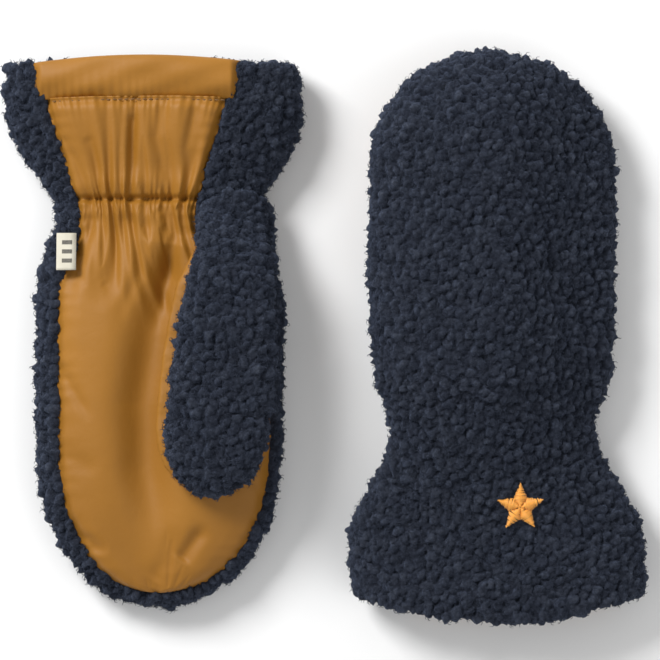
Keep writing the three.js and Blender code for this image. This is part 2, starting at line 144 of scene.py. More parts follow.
def tip_share(value):
    value = np.clip(value, 0.0, 1.0)
    return np.maximum(1.0 - value**TIP_POWER, 0.0) ** (1.0 / TIP_POWER)


def bow(share):
    share = np.minimum(np.abs(share), 1.0)
    return (1.0 - share**SECTION_POWER) ** (1.0 / SECTION_POWER)


def section(count):
    """A rounded cross-section's points, from -1 to 1: how far across and how far up each lies."""
    angle = 2.0 * np.pi * (np.arange(count) + 0.5) / count
    return np.cos(angle), np.sign(np.sin(angle)) * bow(np.cos(angle))


def fading(distance, reach):
    """1 on a line, dying out evenly on both sides of it."""
    return np.exp(-np.abs(distance) / reach)


def bell(distance, half_width):
    """1 on a line, with a round top and soft ends."""
    return np.exp(-((distance / half_width) ** 2))


def unit(vectors):
    return vectors / np.linalg.norm(vectors, axis=1, keepdims=True)


def laid_flat(vectors, direction):
    """Vectors without their part along each direction."""
    return vectors - (vectors * direction).sum(axis=1, keepdims=True) * direction


# ---- Where each mitten lies, worked out from the frame ---------------------------------------


class Mitten:
    """One mitten's place and the main curves of its shape."""

    def __init__(self, side, palm_up, round_tip, hem_sag):
        self.side = side
        self.palm_up = palm_up
        self.round_tip = round_tip
        self.hem_sag = hem_sag
        joints = {joint["name"]: joint for joint in frame["joints"]}
        self.wrist = np.array(joints[f"{side}_wrist_flex"]["pos_m"]) / MM
        self.palm_faces = 1.0 if palm_up else -1.0
        self.turn = -self.palm_faces
        hand_low, hand_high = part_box(f"{side}_hand_back_pile")
        cuff_low, cuff_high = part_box(f"{side}_cuff_back_pile")
        tip = hand_low.y if palm_up else hand_high.y
        hem = cuff_high.y if palm_up else cuff_low.y
        self.hand_length = abs(tip / MM - self.wrist[1])
        self.cuff_length = abs(hem / MM - self.wrist[1])
        self.tip_start = self.hand_length - round_tip
        self.lift_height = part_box(f"{side}_thumb_palm_panel")[1].z / MM + LIFT_CLEARANCE

    def middle_x(self, y):
        return CUFF_LEAN * np.clip(-y / self.cuff_length, 0.0, 1.0)

    def half_width(self, y, inset=0.0, tip_inset=None):
        """Half of the width at y, for a layer that lies inset from the outline."""
        tip_inset = inset if tip_inset is None else tip_inset
        flare = smooth(-y / (self.cuff_length * CUFF_FLARE_REACH)) ** CUFF_FLARE_POWER
        cuff = mix(WRIST_HALF, HEM_HALF, flare)
        hand = mix(WRIST_HALF, HAND_HALF, smooth(y / WIDENING))
        share = tip_share((y - self.tip_start) / (self.round_tip - tip_inset))
        return np.where(y < 0.0, cuff - inset, (hand - inset) * share)

    def thickness(self, y):
        cuff = mix(WRIST_THICK, HEM_THICK, smooth(-y / self.cuff_length))
        hand = mix(WRIST_THICK, HAND_THICK, smooth(y / WIDENING))
        share = tip_share((y - self.tip_start) / self.round_tip) ** TIP_THINNING
        return np.where(y < 0.0, cuff, hand * share)

    def lift(self, x, y):
        """How far the thumb beneath raises a mitten that lies back up."""
        if self.palm_up:
            return x * 0.0
        across = smooth((LIFT_SIDE - x) / LIFT_SIDE_FADE)
        near_wrist = smooth((y - LIFT_WRIST) / LIFT_WRIST_FADE)
        near_tip = 1.0 - LIFT_TIP_DROP * smooth((y - LIFT_TIP) / LIFT_TIP_FADE)
        return self.lift_height * across * np.where(y < LIFT_MIDDLE, near_wrist, near_tip)

    def sag(self, x, y):
        """How far the hem is drawn back at its sides."""
        share = (x - self.middle_x(y)) / np.maximum(self.half_width(y), 1.0)
        return np.where(y < 0.0, self.hem_sag * (y / self.cuff_length) ** 2 * share**2, 0.0)

    def unsag(self, x, y):
        """The row that a point of the drawn-back hem came from."""
        return y - self.sag(x, y)

    def face(self, x, y, reach):
        """Height of a face that reaches this share of the thickness above the section's middle."""
        half = np.maximum(self.half_width(y), 0.5)
        return self.thickness(y) * (0.5 + reach * bow((x - self.middle_x(y)) / half))

    def top(self, x, y):
        """Height of the upper face at a plan position, before pile or puckers."""
        return self.face(x, y, 0.5) + self.lift(x, y)

    def bottom(self, x, y):
        return np.maximum(self.face(x, y, -FLAT_UNDERSIDE), 0.0) + self.lift(x, y)

    def ring(self, y, inset=0.0, count=72):
        """A closed cross-section, as points around it."""
        across, rise = section(count)
        x = self.middle_x(y) + self.half_width(y, inset) * across
        thick = self.thickness(y) - 2.0 * inset
        z = inset + thick * (0.5 + np.where(rise > 0.0, 0.5, FLAT_UNDERSIDE) * rise)
        z = np.maximum(z, inset) + self.lift(x, y)
        return np.stack([x, y + self.sag(x, y), z], axis=1)

    def place(self, points):
        """Points of the mitten's own frame, in millimetres, as metres of the row frame."""
        world = np.array(points, float)
        world[:, :2] = self.wrist[:2] + self.turn * world[:, :2]
        return world * MM

    def at(self, x, y, z):
        return tuple(float(v) for v in self.place([[x, y, z]])[0])


LEFT = Mitten("left", True, 60.0, 3.0)
RIGHT = Mitten("right", False, 43.0, 11.0)
MITTENS = (LEFT, RIGHT)

# ---- Mesh helpers ----------------------------------------------------------------------------


def make_object(name, points, faces, material=None, smooth_faces=True):
    mesh = bpy.data.meshes.new(name)
    mesh.from_pydata([tuple(map(float, p)) for p in points], [], [tuple(map(int, f)) for f in faces])
    mesh.polygons.foreach_set("use_smooth", [smooth_faces] * len(mesh.polygons))
    mesh.update()
    obj = bpy.data.objects.new(name, mesh)
    bpy.context.scene.collection.objects.link(obj)
    if material:
        mesh.materials.append(material)
    return obj


def read_vectors(elements, name):
    out = np.empty(len(elements) * 3)
    elements.foreach_get(name, out)
    return out.reshape(-1, 3)


def positions(obj):
    return read_vectors(obj.data.vertices, "co")


def normals(obj):
    return read_vectors(obj.data.vertex_normals, "vector")


def set_positions(obj, points):
    obj.data.vertices.foreach_set("co", np.asarray(points, float).ravel())
    obj.data.update()


def loft_faces(rows, size, first=0, flip=False):
    faces = []
    for row in range(rows - 1):
        for k in range(size):
            a = first + row * size + k
            b = first + row * size + (k + 1) % size
            quad = (a, b, b + size, a + size)
            faces.append(quad[::-1] if flip else quad)
    return faces


def closed_faces(rows, size):
    """The sides of a loft, and a flat face at each end."""
    ends = [tuple(range(size))[::-1], tuple(range((rows - 1) * size, rows * size))]
    return loft_faces(rows, size) + ends


def loft(name, rings):
    """A closed object through a row of rings."""
    return make_object(name, np.concatenate(rings), closed_faces(len(rings), len(rings[0])))


def with_modifiers_applied(obj):
    """The same object with its modifiers made part of its mesh."""
    graph = bpy.context.evaluated_depsgraph_get()
    graph.update()
    fresh = bpy.data.meshes.new_from_object(obj.evaluated_get(graph))
    old = obj.data
    obj.modifiers.clear()
    obj.data = fresh
    bpy.data.meshes.remove(old)
    return obj


def remesh(obj, size):
    modifier = obj.modifiers.new("even", "REMESH")
    modifier.mode = "VOXEL"
    modifier.voxel_size = size
    modifier.use_smooth_shade = True
    return with_modifiers_applied(obj)


def wobble(points, scale, seed=0.0):
    """Smooth noise between -1 and 1 at each point."""
    return np.array([noise.noise(Vector(p) / scale + Vector((seed, seed, seed))) for p in points])


# ---- The bodies that the fabrics cover -------------------------------------------------------

MOUTH_DEPTH = 46.0
WALL = 5.0


def mitten_form(mitten, name):
    """The mitten as a thick-walled bag with an open cuff, evenly meshed."""
    hem = -mitten.cuff_length + PILE_BASE
    hand = np.linspace(6.0, mitten.tip_start, 7)
    tip = mitten.tip_start + (mitten.round_tip - PILE_BASE) * np.sin(np.linspace(0.15, 1.5, 9))
    rows = np.concatenate([np.linspace(hem, 0.0, 9), hand, tip])
    inner_rows = np.linspace(hem - 0.4, hem + MOUTH_DEPTH, 7)
    rings = [mitten.ring(y, PILE_BASE + WALL) for y in inner_rows[::-1]]
    rings += [mitten.ring(y, PILE_BASE) for y in rows]
    return remesh(loft(name, [ring * MM for ring in rings]), VOXEL * MM)


def palm_edges(mitten, y):
    """Where the palm fabric's seams run at each row: towards the thumb, and the little finger."""
    share = np.clip(-y / mitten.cuff_length, 0.0, 1.0)
    edges = []
    for side, inset in (("thumb", THUMB_SEAM_INSET), ("outer", OUTER_SEAM_INSET)):
        seam = mitten.half_width(y, inset, TIP_BORDER)
        hand = mix(np.minimum(PALM_AT_WRIST[side], seam), seam, smooth(y / PALM_WIDENING[side]))
        cuff = mix(PALM_AT_WRIST[side], PALM_AT_HEM[side], share)
        edges.append(np.where(y < 0.0, cuff, hand))
    return -edges[0], edges[1]


def from_seams(mitten, x, y):
    """How far inside the palm's two long seams a plan position lies."""
    low, high = palm_edges(mitten, y)
    return np.minimum(x - low, high - x)


def palm_mask(mitten, x, row, facing):
    """1 where a point lies on the palm side inside the palm's seams, fading to 0 across them."""
    from_tip = mitten.hand_length - TIP_BORDER - row
    inside = np.minimum(from_seams(mitten, x, row), from_tip * 1.5)
    return smooth(inside / 1.6 + 0.5) * (facing > 0.15)


# ---- Curly pile ------------------------------------------------------------------------------


def scatter(points, spacing, order):
    """Indices of points that are at least a spacing apart, taken in the given order."""
    kept = {}
    chosen = []
    for index in order:
        p = points[index]
        cell = tuple((p // spacing).astype(int))
        near = (
            kept.get((cell[0] + i, cell[1] + j, cell[2] + k))
            for i in (-1, 0, 1) for j in (-1, 0, 1) for k in (-1, 0, 1)
        )
        if all(q is None or ((q - p) ** 2).sum() > spacing**2 for q in near):
            kept[cell] = p
            chosen.append(index)
    return chosen


def curl_field(points, spacing, rng):
    """For each point: distances to the two nearest curls, and the nearest curl's index and centre."""
    order = rng.permutation(len(points))
    chosen = scatter(points, spacing, order)
    tree = kdtree.KDTree(len(chosen))
    for index, source in enumerate(chosen):
        tree.insert(points[source], index)
    tree.balance()
    near = np.empty(len(points))
    second = np.empty(len(points))
    which = np.empty(len(points), int)
    for index, point in enumerate(points):
        (_, first, gap), (_, _, next_gap) = tree.find_n(point, 2)
        near[index] = gap
        second[index] = next_gap
        which[index] = first
    return near, second, which, points[chosen]


def add_pile(obj, weight, spacing, rng):
    """Raises curls over an object's surface, in millimetres; weight says how deep the pile is."""
    points = positions(obj) / MM
    direction = normals(obj)
    warp = np.stack([wobble(points, 1.9, seed) for seed in (3.1, 17.7, 31.3)], axis=1)
    near, second, which, centres = curl_field(points + CURL_WARP * warp, spacing, rng)
    tall = rng.uniform(*CURL_SIZES, len(centres))[which]
    dome = np.sqrt(np.clip(1.0 - (near / (0.85 * spacing)) ** 2, 0.0, 1.0))
    crease = smooth((second - near) / (0.6 * spacing))
    small = wobble(points + 0.8 * warp, 1.25, 5.5)
    lumps = wobble(points, 2.4, 8.5)
    broad = wobble(points, 12.0, 2.2)
    rise = CURL_HEIGHT * tall * (0.45 + 0.55 * dome) * (0.55 + 0.45 * crease)
    rise += 1.3 * small + 1.1 * lumps + 0.9 * broad
    spread = laid_flat(points - centres[which], direction)
    bulge = 0.2 * spread * (crease * dome * tall)[:, None]
    moved = points + weight[:, None] * (direction * rise[:, None] + bulge)
    set_positions(obj, moved * MM)
    # Painted shade and light for the pile's colour: low in the crevices between curls, where shade falls,
    # and high on the curl tops.
    depth = 0.2 + 0.45 * dome * (0.4 + 0.6 * crease) * tall + 0.5 * small + 0.4 * lumps
    store(obj, "painted_curl_shading", mix(0.6, np.clip(depth, 0.0, 1.0), weight))
    store(obj, "curl_tone", rng.uniform(0.0, 1.0, len(centres))[which])


def store(obj, name, values):
    """Keeps a number per vertex for the materials to read."""
    attribute = obj.data.attributes.new(name, "FLOAT", "POINT")
    attribute.data.foreach_set("value", np.asarray(values, float).ravel())


def add_fuzz(source, name, weight, count, rng):
    """Short curved fibres that stand out of a pile surface, as one object of closed thin cones."""
    points = positions(source) / MM
    direction = normals(source)
    chance = weight / weight.sum()
    chosen = rng.choice(len(points), count, p=chance)
    base = points[chosen]
    up = direction[chosen]
    side = unit(laid_flat(rng.normal(size=(count, 3)), up))
    across = np.cross(up, side)
    length = rng.uniform(*FIBRE_LENGTHS, (count, 1))
    stations = ((-0.35, 0.0, 0.13), (0.6, 0.4, 0.11), (0.75, 1.3, 0.075))
    corners = (0.0, 2.0 * math.pi / 3.0, 4.0 * math.pi / 3.0)
    rings = []
    for rise, run, radius in stations:
        middle = base + length * (rise * up + run * side)
        for angle in corners:
            swing = math.cos(angle) * across + math.sin(angle) * (up - side) * 0.7
            rings.append(middle + radius * swing)
    tips = base + length * (0.25 * up + 1.9 * side + 0.4 * across)
    cloud = np.concatenate(rings + [tips]).reshape(10, count, 3).transpose(1, 0, 2).reshape(-1, 3)
    pattern = [(0, 2, 1)]
    for ring in (0, 3):
        for a, b in ((0, 1), (1, 2), (2, 0)):
            pattern.append((ring + a, ring + b, ring + b + 3, ring + a + 3))
    pattern += [(6, 7, 9), (7, 8, 9), (8, 6, 9)]
    faces = [tuple(10 * k + corner for corner in face) for k in range(count) for face in pattern]
    fuzz = make_object(name, cloud * MM, faces, PILE)
    # Painted shade: each fibre is darker at its root, down among the curls, and lighter towards its tip.
    store(fuzz, "painted_curl_shading", np.tile([0.3, 0.3, 0.3, 0.7, 0.7, 0.7, 0.9, 0.9, 0.9, 1.0], count))
    store(fuzz, "curl_tone", np.repeat(rng.uniform(0.0, 1.0, count), 10))
    return fuzz


# ---- Materials -------------------------------------------------------------------------------


class Shader:
    """Short names for building one node material."""

    def __init__(self, name, roughness=0.5):
        self.material = bpy.data.materials.new(name)
        self.material.use_nodes = True
        self.tree = self.material.node_tree
        self.surface = self.tree.nodes["Principled BSDF"]
        self.set("Roughness", roughness)
        self.coords = self.add("ShaderNodeTexCoord").outputs["Object"]

    def add(self, kind, **settings):
        node = self.tree.nodes.new(kind)
        for key, value in settings.items():
            setattr(node, key, value)
        return node

    def link(self, source, target):
        self.tree.links.new(source, target)

    def set(self, name, value):
        self.surface.inputs[name].default_value = value

    def sheen(self, weight, roughness, tint):
        self.set("Sheen Weight", weight)
        self.set("Sheen Roughness", roughness)
        self.set("Sheen Tint", (*tint, 1.0))

    def texture(self, kind, vector, values, **settings):
        """A texture node with values for its named inputs."""
        node = self.add(kind, **settings)
        for name, value in values.items():
            node.inputs[name].default_value = value
        self.link(vector, node.inputs["Vector"])
        return node

    def noise(self, scale, detail=3.0, roughness=0.5, distortion=0.0):
        values = {"Scale": scale, "Detail": detail, "Roughness": roughness, "Distortion": distortion}
        return self.texture("ShaderNodeTexNoise", self.coords, values).outputs["Fac"]

    def cells(self, scale, vector):
        values = {"Scale": scale, "Smoothness": 0.35}
        node = self.texture("ShaderNodeTexVoronoi", vector, values, feature="SMOOTH_F1")
        return node.outputs["Distance"]

    def warped(self, scale, amount):
        """The object's coordinates pushed about by noise, so that patterns lose their regularity."""
        node = self.texture("ShaderNodeTexNoise", self.coords, {"Scale": scale})
        push = self.add("ShaderNodeVectorMath", operation="MULTIPLY_ADD")
        push.inputs[1].default_value = (amount, amount, amount)
        self.link(node.outputs["Color"], push.inputs[0])
        self.link(self.coords, push.inputs[2])
        return push.outputs["Vector"]

    def wave(self, scale, direction, distortion):
        values = {"Scale": scale, "Distortion": distortion}
        node = self.texture("ShaderNodeTexWave", self.coords, values, bands_direction=direction)
        return node.outputs["Fac"]

    def weave(self, scale, distortion=0.0):
        """The crossing of warp and weft threads."""
        across, along = (self.wave(scale, direction, distortion) for direction in "XY")
        return self.maths("MULTIPLY", across, along)

    def ramp(self, value, *stops):
        node = self.add("ShaderNodeValToRGB")
        elements = node.color_ramp.elements
        while len(elements) < len(stops):
            elements.new(0.5)
        for element, (place, colour) in zip(elements, stops):
            element.position = place
            element.color = (*colour, 1.0)
        self.link(value, node.inputs["Fac"])
        return node.outputs["Color"]

    def maths(self, operation, a, b):
        node = self.add("ShaderNodeMath", operation=operation)
        for socket, value in zip(node.inputs, (a, b)):
            if isinstance(value, (int, float)):
                socket.default_value = value
            else:
                self.link(value, socket)
        return node.outputs["Value"]

    def multiply(self, colour, other, share=1.0):
        """Two colours multiplied; the mix node's colour sockets go by number."""
        node = self.add("ShaderNodeMix", data_type="RGBA", blend_type="MULTIPLY")
        node.inputs["Factor"].default_value = share
        self.link(colour, node.inputs[6])
        self.link(other, node.inputs[7])
        return node.outputs[2]

    def bump(self, height, distance, strength, under=None):
        node = self.add("ShaderNodeBump")
        node.inputs["Distance"].default_value = distance
        node.inputs["Strength"].default_value = strength
        self.link(height, node.inputs["Height"])
        if under:
            self.link(under, node.inputs["Normal"])
        return node.outputs["Normal"]

    def attribute(self, name):
        return self.add("ShaderNodeAttribute", attribute_name=name).outputs["Fac"]

    def finish(self, colour, normal, roughness=None):
        self.link(colour, self.surface.inputs["Base Color"])
        self.link(normal, self.surface.inputs["Normal"])
        if roughness:
            self.link(roughness, self.surface.inputs["Roughness"])
        return self.material


def pile_material():
    shader = Shader("navy_pile", 0.92)
    shader.sheen(0.3, 0.5, (0.34, 0.43, 0.66))
    shader.set("Specular IOR Level", 0.12)
    # Painted shade and light: the navy is darkest in the crevices between curls and lightest on the curl
    # tops.
    depth = shader.attribute("painted_curl_shading")
    tone = shader.attribute("curl_tone")
    colour = shader.ramp(
        depth,
        (0.0, (0.0085, 0.0100, 0.0145)),
        (0.3, (0.0160, 0.0190, 0.0285)),
        (0.8, (0.0275, 0.0330, 0.0475)),
        (1.0, (0.0360, 0.0425, 0.0590)),
    )
    patches = shader.ramp(tone, (0.0, (0.80, 0.81, 0.84)), (1.0, (1.22, 1.20, 1.16)))
    colour = shader.multiply(colour, patches)
    # Painted shade and light: each clump is lighter at its raised middle and darker at its edges, where
    # the gaps between clumps lie.
    clumps = shader.cells(780.0, shader.warped(900.0, 1.1 * MM))
    clump_painted_shade = shader.ramp(
        clumps, (0.15, (1.32, 1.31, 1.29)), (0.5, (0.97, 0.97, 0.98)), (0.8, (0.58, 0.59, 0.62)),
    )
    colour = shader.multiply(colour, clump_painted_shade)
    fuzz = shader.noise(3200.0, 4.0, roughness=0.75)
    flecks = shader.ramp(fuzz, (0.32, (0.55, 0.55, 0.58)), (0.7, (1.6, 1.58, 1.55)))
    colour = shader.multiply(colour, flecks, 0.55)
    height = shader.maths("SUBTRACT", 1.0, clumps)
    normal = shader.bump(height, 0.75 * MM, 0.9)
    normal = shader.bump(fuzz, 0.45 * MM, 1.0, normal)
    return shader.finish(colour, normal)


def nylon_material():
    shader = Shader("ochre_nylon", 0.55)
    shader.sheen(0.04, 0.35, (1.0, 0.75, 0.4))
    shader.set("Specular IOR Level", 0.3)
    cloudy = shader.noise(28.0, 2.0)
    colour = shader.ramp(cloudy, (0.3, (0.300, 0.126, 0.0125)), (0.7, (0.350, 0.150, 0.0165)))
    weave = shader.weave(900.0, 0.4)
    threads = shader.ramp(weave, (0.0, (0.9, 0.9, 0.9)), (1.0, (1.06, 1.06, 1.06)))
    colour = shader.multiply(colour, threads)
    crinkle = shader.noise(260.0, 4.0, roughness=0.6, distortion=0.6)
    normal = shader.bump(crinkle, 0.22 * MM, 0.55)
    normal = shader.bump(weave, 0.05 * MM, 0.5, normal)
    gloss = shader.noise(120.0, 2.0)
    roughness = shader.add("ShaderNodeMapRange")
    roughness.inputs["To Min"].default_value = 0.48
    roughness.inputs["To Max"].default_value = 0.6
    shader.link(gloss, roughness.inputs["Value"])
    return shader.finish(colour, normal, roughness.outputs["Result"])


def thread_material(name, colour, roughness=0.45):
    shader = Shader(name, roughness)
    shader.set("Sheen Weight", 0.2)
    fibres = shader.noise(2600.0, 3.0, roughness=0.6)
    dark = tuple(0.82 * part for part in colour)
    light = tuple(min(1.0, 1.12 * part) for part in colour)
    tone = shader.ramp(fibres, (0.3, dark), (0.7, light))
    return shader.finish(tone, shader.bump(fibres, 0.08 * MM, 0.7))


def fleece_material():
    shader = Shader("navy_lining", 0.95)
    shader.sheen(0.35, 0.5, (0.55, 0.6, 0.7))
    nap = shader.noise(900.0, 5.0, roughness=0.7)
    colour = shader.ramp(nap, (0.3, (0.010, 0.012, 0.019)), (0.7, (0.030, 0.034, 0.048)))
    return shader.finish(colour, shader.bump(nap, 0.5 * MM, 0.9))


def tape_material():
    shader = Shader("cream_label", 0.7)
    weave = shader.weave(1500.0)
    soiled = shader.noise(160.0, 3.0)
    colour = shader.ramp(soiled, (0.3, (0.60, 0.565, 0.46)), (0.7, (0.68, 0.64, 0.53)))
    threads = shader.ramp(weave, (0.0, (0.88, 0.88, 0.88)), (1.0, (1.0, 1.0, 1.0)))
    colour = shader.multiply(colour, threads)
    return shader.finish(colour, shader.bump(weave, 0.06 * MM, 0.6))


PILE = pile_material()
NYLON = nylon_material()
FLEECE = fleece_material()
TAPE = tape_material()
THREAD = thread_material("ochre_thread", (0.16, 0.075, 0.015))
STAR_THREAD = thread_material("orange_thread", (0.92, 0.40, 0.060), 0.4)
DARK_THREAD = thread_material("label_thread", (0.03, 0.028, 0.026), 0.7)

# ---- Pile pieces -----------------------------------------------------------------------------

WRIST_BEND = 9.0
FUZZ_PER_HAND = 12000
FUZZ_PER_THUMB = 3500
JUST_ABOVE_FLOOR = 0.1
PADDING_SINK = {"cuff": 2.6, "hand": 8.0}  # how deep the padded nylon lies in the pile's base
PADDING_SINK_REACH = 18.0
UNDER_STAR = 0.3  # share of the pile's height that the star's stitches leave


def keep_above_floor(obj):
    points = positions(obj)
    points[:, 2] = np.maximum(points[:, 2], JUST_ABOVE_FLOOR * MM)
    set_positions(obj, points)


def put_in_place(obj, mitten):
    """Moves a piece from the mitten's own frame to where the mitten lies."""
    set_positions(obj, mitten.place(positions(obj) / MM))


def blend_at_wrist(obj, mitten):
    """Bakes the placement of fabric that crosses the gathered wrist into its mesh; the points on either
    side of the wrist are worked out but not used.
    """
    mitten.at(0.0, WRIST_BEND, 2.0)
    mitten.at(0.0, -WRIST_BEND, 2.0)
    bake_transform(obj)


def inside_mouth(mitten, points, row):
    """Whether a point of the form lies on the inner side of the cuff's wall."""
    inset = PILE_BASE + WALL * 0.5
    x = np.abs(points[:, 0] - mitten.middle_x(row)) / (mitten.half_width(row) - inset)
    half_thick = mitten.thickness(row) / 2.0
    z = np.abs(points[:, 2] - mitten.lift(points[:, 0], row) - half_thick) / (half_thick - inset)
    return (x**SECTION_POWER + z**SECTION_POWER < 1.0) & (row < MOUTH_DEPTH + 3.0 - mitten.cuff_length)


def hem_rim_mask(mitten, points, row):
    """1 at the cuff's edge where the rolled nylon hem covers it."""
    across = smooth((from_seams(mitten, points[:, 0], row) + 0.5) / 2.0)
    middle = mitten.thickness(row) / 2.0 + mitten.lift(points[:, 0], row)
    above = (points[:, 2] - middle) * mitten.palm_faces
    return across * smooth(above / 2.5) * (row < 4.0 - mitten.cuff_length)


def back_pile(mitten, rng):
    """The pile back, sunk where the padded nylon lies on it, and the fibres that stand out of it."""
    side = mitten.side
    form = mitten_form(mitten, f"{side}_back_pile")
    points = positions(form) / MM
    direction = normals(form)
    row = mitten.unsag(points[:, 0], points[:, 1])
    inside = inside_mouth(mitten, points, row)
    palm = palm_mask(mitten, points[:, 0], row, direction[:, 2] * mitten.palm_faces)
    palm = np.maximum(palm, hem_rim_mask(mitten, points, row))
    pressed = smooth((2.5 - points[:, 2]) / 2.0) * (direction[:, 2] < -0.5)
    weight = (1.0 - palm) * (1.0 - 0.85 * pressed) * np.where(inside, 0.0, 1.0)
    if not mitten.palm_up:
        from_star = np.hypot(points[:, 0] - STAR_X, row - STAR_Y)
        weight = weight * mix(UNDER_STAR, 1.0, smooth((from_star - 0.6 * STAR_RADIUS) / 4.0))
    sink = mix(PADDING_SINK["cuff"], PADDING_SINK["hand"], smooth(row / PADDING_SINK_REACH))
    set_positions(form, (points - direction * (sink * palm * ~inside)[:, None]) * MM)
    add_pile(form, weight, CURL_SPACING, rng)
    put_in_place(form, mitten)
    keep_above_floor(form)
    form.data.materials.append(PILE)
    fuzz = add_fuzz(form, f"{side}_back_fuzz", weight**6 * (1.0 - pressed), FUZZ_PER_HAND, rng)
    keep_above_floor(fuzz)
    for piece in (form, fuzz):
        blend_at_wrist(piece, mitten)
    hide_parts(f"{side}_hand_back_pile", f"{side}_cuff_back_pile", f"{side}_wrist_pile")


# ---- Padded nylon ----------------------------------------------------------------------------

HEM_ROLL = 14.0
WRIST_LINE = -4.0
ROW_SPACING = 1.35
PALM_COLUMNS = 85
GATHERS = 21
SIM_SCALE = 10.0  # the cloth solver works best on a piece about a metre long
SIM_FRAMES = 42
CUT_LENGTH = 1.035  # the nylon is cut this much longer than the seams it is sewn into


def palm_rows(mitten):
    """Rows of the nylon from the hem's stitching to the fingertips."""
    start = HEM_ROLL - mitten.cuff_length
    straight = np.arange(start, mitten.tip_start, ROW_SPACING)
    reach = mitten.round_tip - TIP_BORDER
    count = int(reach / ROW_SPACING)
    return np.concatenate([straight, mitten.tip_start + reach * np.sin(np.linspace(0.0, 1.53, count))])


def palm_plan(mitten, rows):
    """A grid over the palm: plan positions, and how far across the palm each point lies."""
    low, high = palm_edges(mitten, rows)
    y = np.repeat(rows[:, None], PALM_COLUMNS, axis=1)
    share = np.linspace(0.0, 1.0, PALM_COLUMNS)[None, :] + 0.0 * y
    return mix(low[:, None], high[:, None], share), y, share


def grid_faces(rows, columns, first=0, flip=False):
    faces = []
    for row in range(rows - 1):
        for column in range(columns - 1):
            a = first + row * columns + column
            quad = (a, a + 1, a + columns + 1, a + columns)
            faces.append(quad[::-1] if flip else quad)
    return faces


def fullness(rows):
    """How much wider the nylon was cut than the seam it is gathered into, row by row."""
    from_wrist = rows - WRIST_LINE
    hand = 1.075 + 0.36 * fading(from_wrist, 24.0)
    cuff = 1.18 + 0.24 * fading(from_wrist, 14.0)
    return np.where(from_wrist > 0.0, hand, cuff)


def first_folds(y, share):
    """Small folds for the simulation to grow, running away from the gathered wrist."""
    from_wrist = np.abs(y - WRIST_LINE)
    lean = share + 0.05 * np.sin(0.05 * from_wrist + 9.0 * share)
    folds = np.sin(2.0 * np.pi * 9.0 * lean + 1.7) + 0.6 * np.sin(2.0 * np.pi * 5.3 * lean + 0.4)
    broad = np.sin(2.0 * np.pi * (1.6 * lean + 0.011 * y) + 2.0)
    return 0.7 * folds * fading(from_wrist, 30.0) + 0.6 * broad


def sewn_points(rows, shape):
    """Which points of the nylon's grid are held: its seams, its ends and the line of the elastic."""
    held = np.zeros(shape, bool)
    held[:, :2] = True
    held[:, -2:] = True
    held[0] = True
    held[-6:] = True
    held[np.abs(rows - WRIST_LINE).argmin()] = True
    return held


CRISP_NYLON = {
    "quality": 6,
    "mass": 0.25,
    "tension_stiffness": 18.0,
    "compression_stiffness": 18.0,
    "shear_stiffness": 6.0,
    "bending_stiffness": 0.9,
    "air_damping": 4.0,
    "use_pressure": True,
    "uniform_pressure_force": 1.2,
}


def add_cloth(cloth, cut):
    """Makes a mesh thin, crisp nylon under light pressure, without gravity, held at its seams."""
    modifier = cloth.modifiers.new("cloth", "CLOTH")
    for name, value in CRISP_NYLON.items():
        setattr(modifier.settings, name, value)
    modifier.settings.vertex_group_mass = "seams"
    modifier.settings.rest_shape_key = cut
    modifier.settings.effector_weights.gravity = 0.0
    modifier.collision_settings.use_collision = False
    modifier.point_cache.frame_start = 1
    modifier.point_cache.frame_end = SIM_FRAMES


def settled_folds(mitten, rows):
    """Lets the full-cut nylon buckle between its seams; gives the shift of every grid point."""
    x, y, share = palm_plan(mitten, rows)
    z = mitten.top(x, y)
    flat = np.stack([x, y, z], axis=-1).reshape(-1, 3)
    started = flat.copy()
    edge = smooth(np.minimum(share, 1.0 - share) / 0.05)
    started[:, 2] += (first_folds(y, share) * edge).ravel()
    to_sim = MM * SIM_SCALE
    cloth = make_object("settling", started * to_sim, grid_faces(*x.shape))
    cloth.shape_key_add(name="Basis")
    cut = cloth.shape_key_add(name="Cut")
    middle = x.mean(axis=1, keepdims=True)
    wide = middle + (x - middle) * fullness(rows)[:, None]
    cut_shape = np.stack([wide, y * CUT_LENGTH, z], axis=-1) * to_sim
    cut.data.foreach_set("co", cut_shape.ravel())
    group = cloth.vertex_groups.new(name="seams")
    group.add([int(k) for k in np.nonzero(sewn_points(rows, x.shape).ravel())[0]], 1.0, "REPLACE")
    add_cloth(cloth, cut)
    scene = bpy.context.scene
    for step in range(1, SIM_FRAMES + 1):
        scene.frame_set(step)
    settled = cloth.evaluated_get(bpy.context.evaluated_depsgraph_get()).to_mesh()
    points = read_vectors(settled.vertices, "co")
    bpy.data.objects.remove(cloth)
    scene.frame_set(1)
    return (points / to_sim - flat).reshape(*x.shape, 3)


# ---- The palm's face -------------------------------------------------------------------------

PAD_THICKNESS = {"least": 1.2, "floor": -3.2}  # the pad's hidden face: this far under the nylon
STITCH_LINE = HEM_ROLL + 1.1
PUCKERS = 25
ELASTIC_GROOVE = 2.5


def refined(grid):
    """The same grid with a new row and column half way between each old pair."""
    for axis in (0, 1):
        grid = np.moveaxis(grid, axis, 0)
        longer = np.empty((2 * len(grid) - 1, *grid.shape[1:]))
        longer[::2] = grid
        ends = np.concatenate([grid[:1], grid, grid[-1:]])
        longer[1::2] = (9.0 * (grid[:-1] + grid[1:]) - ends[:-3] - ends[3:]) / 16.0
        grid = np.moveaxis(longer, 0, axis)
    return grid


